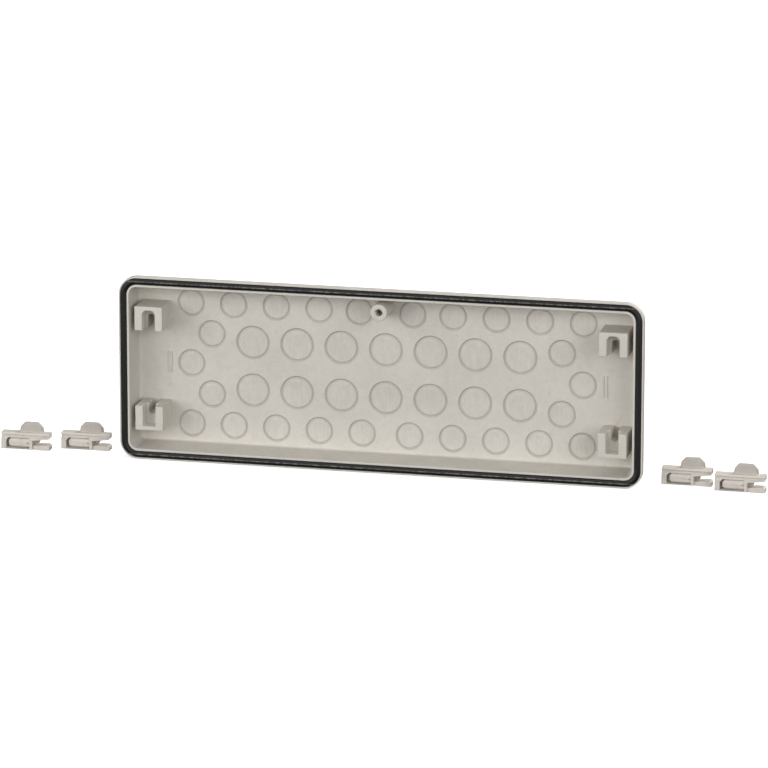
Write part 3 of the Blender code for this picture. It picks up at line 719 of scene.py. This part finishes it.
def knockout_tree():
    """Cutter at every point: a disc whose underside is the knockout's own surface.

    The surface is a grid rolled up into a disc. From its centre outwards it is level, but for
    a slight swelling, then it falls into a V-shaped groove at the knockout's edge and climbs out
    past the floor.
    """
    tree = bpy.data.node_groups.new("knockout_cutters", "GeometryNodeTree")
    tree.interface.new_socket("Geometry", in_out="INPUT", socket_type="NodeSocketGeometry")
    for name in ("Diameter", "Groove width", "Groove depth", "Disc recess", "Lobe height"):
        socket = tree.interface.new_socket(name, in_out="INPUT", socket_type="NodeSocketFloat")
        socket.subtype = "DISTANCE"
    tree.interface.new_socket("Segments", in_out="INPUT", socket_type="NodeSocketInt")
    tree.interface.new_socket("Turn", in_out="INPUT", socket_type="NodeSocketFloat")
    tree.interface.new_socket("Material", in_out="INPUT", socket_type="NodeSocketMaterial")
    tree.interface.new_socket("Groove material", in_out="INPUT", socket_type="NodeSocketMaterial")
    tree.interface.new_socket("Geometry", in_out="OUTPUT", socket_type="NodeSocketGeometry")
    given = tree.nodes.new("NodeGroupInput").outputs
    calc = partial(maths, tree)
    radius = calc("MULTIPLY", given["Diameter"], 0.5)
    half_groove = calc("MULTIPLY", given["Groove width"], 0.5)

    columns = calc("ADD", given["Segments"], 1)
    grid = node(tree, "GeometryNodeMeshGrid", 1.0, 1.0, columns, CUTTER_ROWS)
    place = node(tree, "ShaderNodeSeparateXYZ", node(tree, "GeometryNodeInputPosition").outputs[0])
    turn = calc("MULTIPLY", calc("ADD", place.outputs["X"], 0.5), 2 * math.pi)
    outwards = calc("ADD", place.outputs["Y"], 0.5)
    disc_edge = calc("SUBTRACT", radius, half_groove)
    climb = calc("MULTIPLY", half_groove, CLIMB)
    reach = calc("ADD", ranged(tree, outwards, 0.0, DISC_ROWS, 0.0, disc_edge),
                 ranged(tree, outwards, DISC_ROWS, 1.0, 0.0, climb))
    x = calc("MULTIPLY", reach, calc("COSINE", turn))
    y = calc("MULTIPLY", reach, calc("SINE", turn))

    from_edge = calc("ABSOLUTE", calc("SUBTRACT", reach, radius))
    away = calc("DIVIDE", from_edge, half_groove)
    groove = calc("MULTIPLY", given["Groove depth"], calc("SUBTRACT", 1.0, away))
    wide = calc("DIVIDE", x, calc("MULTIPLY", radius, LOBE_HALF_WIDTH))
    above = calc("SUBTRACT", y, calc("MULTIPLY", radius, LOBE_LEVEL))
    high = calc("DIVIDE", above, calc("MULTIPLY", radius, LOBE_HALF_HEIGHT))
    spread = calc("ADD", calc("POWER", wide, 2.0), calc("POWER", high, 2.0))
    swelling = calc("MULTIPLY", given["Lobe height"], calc("EXPONENT", calc("MULTIPLY", spread, -1.0)))
    disc = calc("SUBTRACT", given["Disc recess"], swelling)
    inside = calc("LESS_THAN", reach, radius)
    sunk = calc("MAXIMUM", groove, disc)
    depth = calc("ADD", calc("MULTIPLY", inside, sunk),
                 calc("MULTIPLY", calc("SUBTRACT", 1.0, inside), groove))
    point = node(tree, "ShaderNodeCombineXYZ", x, y, calc("MULTIPLY", depth, -1.0)).outputs[0]
    moved = node(tree, "GeometryNodeSetPosition", grid.outputs["Mesh"], None, point).outputs[0]
    across = node(tree, "ShaderNodeSeparateXYZ", node(tree, "GeometryNodeInputPosition").outputs[0])
    squares = calc("ADD", calc("POWER", across.outputs["X"], 2.0), calc("POWER", across.outputs["Y"], 2.0))
    past_disc = calc("GREATER_THAN", calc("SQRT", squares), disc_edge)
    marked = node(tree, "GeometryNodeCaptureAttribute", moved, domain="FACE")
    marked.capture_items.new("BOOLEAN", "In groove")
    tree.links.new(past_disc, marked.inputs["In groove"])

    lid_radius = calc("ADD", radius, calc("MULTIPLY", half_groove, 2.0))
    lid = node(tree, "GeometryNodeMeshCircle", given["Segments"], lid_radius, fill_type="NGON")
    lift = node(tree, "ShaderNodeCombineXYZ", 0.0, 0.0, given["Groove depth"]).outputs[0]
    raised = node(tree, "GeometryNodeTransform", named={"Geometry": lid.outputs[0], "Translation": lift})
    joined = tree.nodes.new("GeometryNodeJoinGeometry")
    tree.links.new(raised.outputs[0], joined.inputs[0])
    tree.links.new(marked.outputs["Geometry"], joined.inputs[0])
    closed = node(tree, "GeometryNodeMergeByDistance",
                  named={"Geometry": joined.outputs[0], "Distance": CUTTER_MERGE})

    upright = node(tree, "ShaderNodeCombineXYZ", given["Turn"], 0.0, 0.0).outputs[0]
    spots = node(tree, "GeometryNodeInstanceOnPoints",
                 named={"Points": given["Geometry"], "Instance": closed.outputs[0], "Rotation": upright})
    real = node(tree, "GeometryNodeRealizeInstances", spots.outputs[0])
    whole = node(tree, "GeometryNodeSetMaterial", real.outputs[0], None, given["Material"]).outputs[0]
    # The groove's faces take the darker material: painted shade in the ring groove, with some dust
    finished = node(tree, "GeometryNodeSetMaterial", whole, marked.outputs["In groove"],
                    given["Groove material"]).outputs[0]
    tree.links.new(finished, tree.nodes.new("NodeGroupOutput").inputs[0])
    return tree


def knockout_cutters(tree, name, centres, level, values):
    """Points at the centres, grown into cutters by the tree with the given input values."""
    mesh = bpy.data.meshes.new(name)
    mesh.from_pydata([(x, level, z) for x, z in centres], [], [])
    obj = add_object(name, mesh)
    modifier = obj.modifiers.new("knockouts", "NODES")
    modifier.node_group = tree
    for item in tree.interface.items_tree:
        if item.in_out == "INPUT" and item.name in values:
            modifier[item.identifier] = values[item.name]
    with edited(baked(obj)) as bm:
        bmesh.ops.recalc_face_normals(bm, faces=bm.faces)
    return obj


def all_cutters(tray, ko, materials):
    """Cutters of the floor's knockouts and of the faint rings on the outer face."""
    tree = knockout_tree()
    floor = {"Turn": QUARTER_TURN, "Groove width": ko.groove_width, "Groove depth": ko.groove_depth,
             "Disc recess": ko.recess, "Lobe height": ko.lobe}
    back = {"Turn": -QUARTER_TURN, "Groove width": ko.back_width, "Groove depth": ko.back_depth,
            "Disc recess": ko.back_recess, "Lobe height": 0.0}
    cutters = []
    families = (("large", large_centres(ko), ko.large), ("small", small_centres(ko), ko.small))
    for label, centres, diameter in families:
        shared = {"Diameter": diameter, "Segments": ko.segments, "Material": materials[0],
                  "Groove material": materials[1]}
        cutters.append(knockout_cutters(tree, label + "_knockouts", centres, floor_level(tray),
                                        shared | floor))
        cutters.append(knockout_cutters(tree, label + "_back_rings", centres, tray.depth, shared | back))
    return cutters


def gasket_strip(tray, gasket):
    """Strip with a crowned face, swept around the channel."""
    outer = tray.land + gasket.clearance
    inner = tray.land + tray.channel_width - gasket.clearance
    seat = tray.channel_depth - gasket.clearance
    loops = [rim_loop(tray, inner, inner, seat), rim_loop(tray, outer, outer, seat)]
    for step in range(gasket.steps + 1):
        across = 2 * step / gasket.steps - 1
        inset = (outer + inner + (inner - outer) * across) / 2
        aside = across * (inner - outer) / gasket.bead_width
        shoulder = gasket.bead * (1 - math.exp(-aside ** 4))
        loops.append(rim_loop(tray, inset, inset, gasket.crown * across ** 2 + shoulder - gasket.rise))
    return add_solid("gasket_dressed", skin(loops, ring=True))


def window_sides(w):
    """Left, right, low and high side of a wedge's window."""
    return w.end_block, w.end_block + w.window_length, w.lower_rail, w.lower_rail + w.window_height


def wedge_body(w):
    """Frame of a wedge: closed end, window, bridge and fork, with the recess along its upper bar."""
    left, right, low, high = window_sides(w)
    throat_x = right + w.bridge
    mouth_top = w.lower_tine + w.mouth
    tip_x = w.length - w.lower_round
    outline = [(0, 0), (w.length, 0)]
    outline += arc(tip_x, w.lower_tine - w.lower_round, w.lower_round, 0)
    outline += [((throat_x + tip_x) / 2, w.lower_tine), (throat_x, w.lower_root),
                (throat_x, w.lower_tine + w.throat)]
    outline += arc(w.length - w.upper_round, mouth_top + w.upper_round, w.upper_round, 3)
    outline += [(w.length, w.height), (0, w.height)]
    window = [(left, low), (right, low), (right, high), (left + w.window_corner, high),
              (left, high - w.window_corner)]
    body = flat_solid("wedge_body", [outline, window], 0, w.depth)
    cut_edges(body, lambda co: co.y < w.edge and co.z > w.height - w.edge, w.chamfer)
    recess_low = high - w.recess_overlap
    recess_high = w.height - w.recess_top
    past_end = w.length + OVERSHOOT
    recess = [[(-OVERSHOOT, recess_low), (throat_x, recess_low), (past_end, recess_high - w.recess_open),
               (past_end, recess_high), (-OVERSHOOT, recess_high)]]
    slope = flat_solid("wedge_recess", recess, -OVERSHOOT, w.recess_depth)
    for vert in slope.data.vertices:
        if vert.co.y > 0:
            climbed = (vert.co.z - recess_low) / (recess_high - recess_low)
            vert.co.y *= w.recess_lip + (1 - w.recess_lip) * climbed
    reach = w.rail_chamfer + OVERSHOOT
    bevelled = prism("wedge_rail_chamfer", "YZ", [(-OVERSHOOT, -OVERSHOOT), (reach, -OVERSHOOT),
                                                  (-OVERSHOOT, reach)], left, right)
    hollow = prism("wedge_hollow", "XY", [(throat_x, -OVERSHOOT), (throat_x + w.hollow_length, -OVERSHOOT),
                                          (throat_x + w.hollow_length, 0), (throat_x, w.hollow_depth)],
                   -OVERSHOOT, w.lower_tine + w.throat / 2)
    combined(body, [slope, bevelled, hollow], "DIFFERENCE")
    return rounded(body, w.edge)


def wedge_tongue(w):
    """Bullet-shaped tongue in the window, which grows out of the bridge."""
    left, right, rail, bar = window_sides(w)
    tip = left + w.tongue_tip_gap
    root = right + w.bridge * TONGUE_ROOT
    low = rail + w.tongue_clearance
    high = bar - w.tongue_clearance
    middle = (low + high) / 2
    outline = [[(root, low), (root, high), (tip + w.tongue_nose, high), (tip, middle + w.tongue_tip / 2),
                (tip, middle - w.tongue_tip / 2), (tip + w.tongue_nose, low)]]
    tongue = flat_solid("wedge_tongue", outline, w.set_in, w.tongue_depth)
    cut_edges(tongue, lambda co: co.y < w.edge, w.tongue_round, w.tongue_steps)
    line = prism("tongue_line", "YZ", [(-OVERSHOOT, middle - w.line_width / 2 - OVERSHOOT / 2),
                                       (w.line_depth, middle),
                                       (-OVERSHOOT, middle + w.line_width / 2 + OVERSHOOT / 2)],
                 w.line_start, right)
    pit = turned("tongue_pit", [(w.dimple / 2, -OVERSHOOT), (w.dimple / 2, 2 * w.dimple)],
                 right - w.dimple, middle, segments=12)
    return combined(tongue, [line, pit], "DIFFERENCE")


def wedge_back(w):
    """Thin wall behind the window."""
    left, right, low, high = window_sides(w)
    return box("wedge_back", (left / 2, w.depth - w.back_wall, low / 2),
               (right + w.bridge * BACK_ROOT, w.depth - w.web_setback, high + w.edge))


def wedge_web(w):
    """Set-back web that closes the throat of the fork, with a slanting free edge."""
    right = window_sides(w)[1]
    start = right + w.bridge * WEB_ROOT
    end = right + w.bridge + w.web_length
    low = w.lower_root / 2
    high = (w.lower_tine + w.mouth + w.height) / 2
    outline = [[(start, low), (end - w.web_slant, low), (end, high), (start, high)]]
    return flat_solid("wedge_web", outline, w.depth - w.web_depth, w.depth - w.web_setback)


def wedge_tab(w):
    """Thumb tab on top of the upper bar, with leaning sides and cut corners."""
    left, right = w.tab_start, w.tab_start + w.tab_length
    foot = w.height - w.chamfer - w.tab_chamfer
    shoulder = w.height + w.tab_shoulder
    top = w.height + w.tab_height
    top_inset = w.tab_lean + w.tab_corner
    corners = [(left, foot, 0), (right, foot, 0), (right, w.height, 0),
               (right - w.tab_lean, shoulder, w.tab_round), (right - top_inset, top, w.tab_round),
               (left + top_inset, top, w.tab_round), (left + w.tab_lean, shoulder, w.tab_round),
               (left, w.height, 0)]
    outline = [rounded_path(corners, w.tab_steps)]
    front = w.depth - w.tab_depth
    tab = flat_solid("wedge_tab", outline, front, w.depth - w.set_in)
    cut_edges(tab, lambda co: co.y < front + w.edge, w.tab_chamfer)
    return rounded(tab, w.edge)


def graded(tree, value, dark, light, low, high):
    """Colour that runs from dark to light as a value runs from low to high."""
    ramp = node(tree, "ShaderNodeValToRGB", value)
    ends = ramp.color_ramp.elements
    ends[0].position, ends[1].position = low, high
    ends[0].color, ends[1].color = (*dark, 1.0), (*light, 1.0)
    return ramp.outputs["Color"]


def noise(tree, place, feature, detail=2.0):
    """Noise whose blotches have the given size."""
    inputs = {"Vector": place, "Scale": 1.0 / feature, "Detail": detail}
    return node(tree, "ShaderNodeTexNoise", named=inputs).outputs["Fac"]


def shader_tree(name, gloss):
    """New material, its tree, its shader and the place on the piece."""
    material = bpy.data.materials.new(name)
    material.use_nodes = True
    tree = material.node_tree
    shader = tree.nodes["Principled BSDF"]
    shader.inputs["Specular IOR Level"].default_value = gloss
    place = tree.nodes.new("ShaderNodeTexCoord").outputs["Object"]
    return material, tree, shader, place


def multiplied(tree, first, second):
    """Product of two colours."""
    mixed = node(tree, "ShaderNodeMix", data_type="RGBA", blend_type="MULTIPLY",
                 named={"Factor": 1.0, "A": first, "B": second})
    return mixed.outputs["Result"]


def bumped(tree, shader, height, distance):
    """Give a shader a bump of real height."""
    bump = node(tree, "ShaderNodeBump", named={"Distance": distance, "Height": height})
    tree.links.new(bump.outputs["Normal"], shader.inputs["Normal"])


def plastic(name, colour, finish, streaks=0.0, shade_from=None):
    """Matt moulded plastic: fine grain, soft colour clouds, blotches and a few faint specks.

    Streaks add upright flow marks, and above the level shade_from the tone is darker.
    """
    material, tree, shader, place = shader_tree(name, finish.gloss)
    grain = noise(tree, place, finish.grain)
    cloud = noise(tree, place, finish.cloud)
    speck = noise(tree, place, finish.speck, detail=1.0)
    mottle = noise(tree, place, finish.mottle)
    layers = [(grain, *GRAINS), (speck, *SPECKS), (mottle, *MOTTLES)]
    if streaks:
        squash = {"Vector": place, "Scale": (1.0, 1.0, finish.streak_squash)}
        stretched = node(tree, "ShaderNodeMapping", named=squash).outputs["Vector"]
        flow = noise(tree, stretched, finish.streak_width)
        layers.append((flow, (1.0 - streaks,) * 3, WHITE, *FLOW_RANGE))
    if shade_from is not None:
        level = node(tree, "ShaderNodeSeparateXYZ", place).outputs["Z"]
        above = ranged(tree, level, shade_from - FADE_UNDER, shade_from + FADE_OVER, 0.0, 1.0)
        layers.append((above, WHITE, (finish.tab_shade,) * 3, 0.0, 1.0))
    base = Vector(colour)
    colours = graded(tree, cloud, base * (1 - CLOUD_SPREAD), base * (1 + CLOUD_SPREAD), *CLOUD_RANGE)
    for layer in layers:
        colours = multiplied(tree, colours, graded(tree, *layer))
    tree.links.new(colours, shader.inputs["Base Color"])
    rough = ranged(tree, speck, *ROUGH_RANGE, finish.smoothest, finish.roughest)
    tree.links.new(rough, shader.inputs["Roughness"])
    bumped(tree, shader, grain, finish.grain_height)
    return material


def rubber(name, tray, finish):
    """Black rubber with a fine pitted skin and a pale highlight painted in patches along the bead of its
    long sides.
    """
    material, tree, shader, place = shader_tree(name, finish.rubber_gloss)
    shader.inputs["Roughness"].default_value = finish.rubber_roughness
    # Painted highlight: a pale band in patches along the bead of the long sides only
    speckle = ranged(tree, noise(tree, place, finish.highlight_patch), *HIGHLIGHT_PATCH_RANGE, LEAST_HIGHLIGHT, 1.0)
    bead = tray.height / 2 - tray.land - tray.channel_width / 2
    level = maths(tree, "ABSOLUTE", node(tree, "ShaderNodeSeparateXYZ", place).outputs["Z"])
    aside = maths(tree, "ABSOLUTE", maths(tree, "SUBTRACT", level, bead))
    crest = ranged(tree, aside, finish.highlight_inner, finish.highlight_outer, 1.0, 0.0)
    painted_highlight = maths(tree, "MULTIPLY", speckle, crest)
    tree.links.new(graded(tree, painted_highlight, finish.rubber, finish.painted_highlight, 0.0, 1.0), shader.inputs["Base Color"])
    bumped(tree, shader, noise(tree, place, finish.pit, detail=3.0), finish.pit_depth)
    return material


def dress(obj, slot, *nodes):
    """Let a finished piece stand for its CAD nodes."""
    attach(obj, "root")
    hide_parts(*nodes)


class FLANGE_OT_plate(bpy.types.Operator):
    """Build the moulded plate: tray, posts, boss, centre marks and knockouts."""

    bl_idname = "flange.plate"
    bl_label = "Plate"

    def execute(self, context):
        scene = context.scene
        tray, fit, finish = scene.flange_tray, scene.flange_fittings, scene.flange_finish
        plate = tray_body(tray)
        corners = ((-1, 1), (1, 1), (-1, -1), (1, -1))
        posts = [post(tray, fit, side_x, side_z) for side_x, side_z in corners]
        combined(plate, posts + [boss(tray, fit)] + centre_marks(tray, fit), "UNION")
        plate.data.materials.append(plastic("plate_plastic", finish.plate, finish))
        discs = plastic("disc_plastic", finish.plate, finish, finish.streaks)
        # Darker ring grooves: painted shade, with some dust
        dusty_shaded_grooves = plastic("groove_plastic", Vector(finish.plate) * finish.groove_dust_and_shade, finish)
        cutters = all_cutters(tray, scene.flange_knockouts, (discs, dusty_shaded_grooves))
        combined(plate, cutters, "DIFFERENCE", "TRANSFER")
        dress(shaded(plate), "light_grey_plastic", "flange_plate")
        return {"FINISHED"}


class FLANGE_OT_gasket(bpy.types.Operator):
    """Build the gasket in its channel."""

    bl_idname = "flange.gasket"
    bl_label = "Gasket"

    def execute(self, context):
        scene = context.scene
        strip = gasket_strip(scene.flange_tray, scene.flange_gasket)
        strip.data.materials.append(rubber("gasket_rubber", scene.flange_tray, scene.flange_finish))
        dress(shaded(strip), "black_rubber", "gasket")
        return {"FINISHED"}


class FLANGE_OT_wedges(bpy.types.Operator):
    """Build the four locking wedges where the frame has them."""

    bl_idname = "flange.wedges"
    bl_label = "Locking wedges"

    def execute(self, context):
        scene = context.scene
        w = scene.flange_wedge
        finish = scene.flange_finish
        shade_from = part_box(WEDGE_NODES[0])[0].z + w.height
        # Wedge plastic whose tone is darker above the body's top, over the thumb tab
        main_wedge_plastic = plastic("wedge_plastic", finish.wedge, finish, shade_from=shade_from)
        # The web gets a darker tone as painted shade of the fork; its roughness is the same as on the rest
        # of the wedge
        rough = plastic("web_plastic", Vector(finish.wedge) * finish.web_painted_shade, finish)
        body, web = wedge_body(w), wedge_web(w)
        pieces = [wedge_tongue(w), web, wedge_tab(w), wedge_back(w)]
        for piece in [body] + pieces:
            piece.data.materials.append(rough if piece == web else main_wedge_plastic)
        pattern = shaded(combined(body, pieces, "UNION", "TRANSFER"))
        for name in WEDGE_NODES:
            mesh = pattern.data.copy()
            mesh.transform(Matrix.Translation(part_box(name)[0]))
            dress(add_object(name + "_dressed", mesh), "wedge_plastic", name)
        bpy.data.objects.remove(pattern, do_unlink=True)
        return {"FINISHED"}


def add_camera(stage):
    """Camera of the photograph's view."""
    back = Vector((math.sin(stage.yaw) * math.cos(stage.pitch), -math.cos(stage.yaw) * math.cos(stage.pitch),
                   math.sin(stage.pitch)))
    right = Vector((math.cos(stage.yaw), math.sin(stage.yaw), 0))
    up = back.cross(right)
    axes = Matrix((right, up, back)).transposed() @ Matrix.Rotation(stage.roll, 3, "Z")
    data = bpy.data.cameras.new("camera")
    data.sensor_width = 36.0
    data.lens = stage.focal
    data.clip_end = 50.0
    camera = add_object("camera", data)
    place = axes @ Vector((stage.aside, -stage.below, stage.distance))
    camera.matrix_world = Matrix.Translation(place) @ axes.to_4x4()
    bpy.context.scene.camera = camera


def add_floor(stage):
    """Pale floor under the part."""
    bm = bmesh.new()
    bmesh.ops.create_grid(bm, x_segments=1, y_segments=1, size=stage.floor_reach)
    floor = add_solid("floor", bm)
    floor.location.z = CAD_BOUNDS[0].z
    material = bpy.data.materials.new("floor")
    material.use_nodes = True
    shader = material.node_tree.nodes["Principled BSDF"]
    shader.inputs["Base Color"].default_value = (*stage.floor, 1.0)
    shader.inputs["Roughness"].default_value = stage.floor_roughness
    shader.inputs["Emission Color"].default_value = (1.0, 1.0, 1.0, 1.0)
    shader.inputs["Emission Strength"].default_value = stage.floor_glow
    floor.data.materials.append(material)
    floor.visible_diffuse = False
    floor.visible_glossy = False


def add_light(stage, side):
    """Soft square light that faces the plate from one of the stage's sides."""
    power, turn, rise = (getattr(stage, side + "_" + value) for value in ("power", "turn", "rise"))
    towards = Vector((math.sin(turn) * math.cos(rise), -math.cos(turn) * math.cos(rise), math.sin(rise)))
    data = bpy.data.lights.new(side + "_light", "AREA")
    data.shape = "SQUARE"
    data.size = stage.light_size
    data.energy = power
    light = add_object(side + "_light", data)
    light.location = towards * stage.light_distance
    light.rotation_euler = towards.to_track_quat("Z", "Y").to_euler()


class FLANGE_OT_stage(bpy.types.Operator):
    """Set up the floor, the light and the camera."""

    bl_idname = "flange.stage"
    bl_label = "Stage"

    def execute(self, context):
        stage = context.scene.flange_stage
        world = bpy.data.worlds.new("studio")
        world.use_nodes = True
        world.node_tree.nodes["Background"].inputs["Color"].default_value = (1.0, 1.0, 1.0, 1.0)
        world.node_tree.nodes["Background"].inputs["Strength"].default_value = stage.sky
        context.scene.world = world
        context.scene.view_settings.view_transform = "Standard"
        add_floor(stage)
        for side in LIGHT_SIDES:
            add_light(stage, side)
        add_camera(stage)
        return {"FINISHED"}


class FLANGE_PT_panel(bpy.types.Panel):
    """Buttons that build the part and its stage."""

    bl_label = "Flange plate"
    bl_idname = "FLANGE_PT_panel"
    bl_space_type = "VIEW_3D"
    bl_region_type = "UI"
    bl_category = "Flange plate"

    def draw(self, context):
        for operator in OPERATORS:
            self.layout.operator(operator.bl_idname)


GROUPS = {
    "flange_tray": FLANGE_PG_tray,
    "flange_knockouts": FLANGE_PG_knockouts,
    "flange_fittings": FLANGE_PG_fittings,
    "flange_gasket": FLANGE_PG_gasket,
    "flange_wedge": FLANGE_PG_wedge,
    "flange_finish": FLANGE_PG_finish,
    "flange_stage": FLANGE_PG_stage,
}
OPERATORS = (FLANGE_OT_plate, FLANGE_OT_gasket, FLANGE_OT_wedges, FLANGE_OT_stage)


def register():
    """Register the classes and hang the property groups on the scene."""
    for group in GROUPS.values():
        bpy.utils.register_class(group)
    for operator in OPERATORS:
        bpy.utils.register_class(operator)
    bpy.utils.register_class(FLANGE_PT_panel)
    for name, group in GROUPS.items():
        setattr(bpy.types.Scene, name, bpy.props.PointerProperty(type=group))


def unregister():
    """Take the property groups and classes away again."""
    for name in GROUPS:
        delattr(bpy.types.Scene, name)
    for kind in (FLANGE_PT_panel, *OPERATORS, *GROUPS.values()):
        bpy.utils.unregister_class(kind)


def main():
    """Build the pieces and the stage."""
    register()
    bpy.ops.flange.plate()
    bpy.ops.flange.gasket()
    bpy.ops.flange.wedges()
    bpy.ops.flange.stage()


if __name__ == "__main__":
    main()
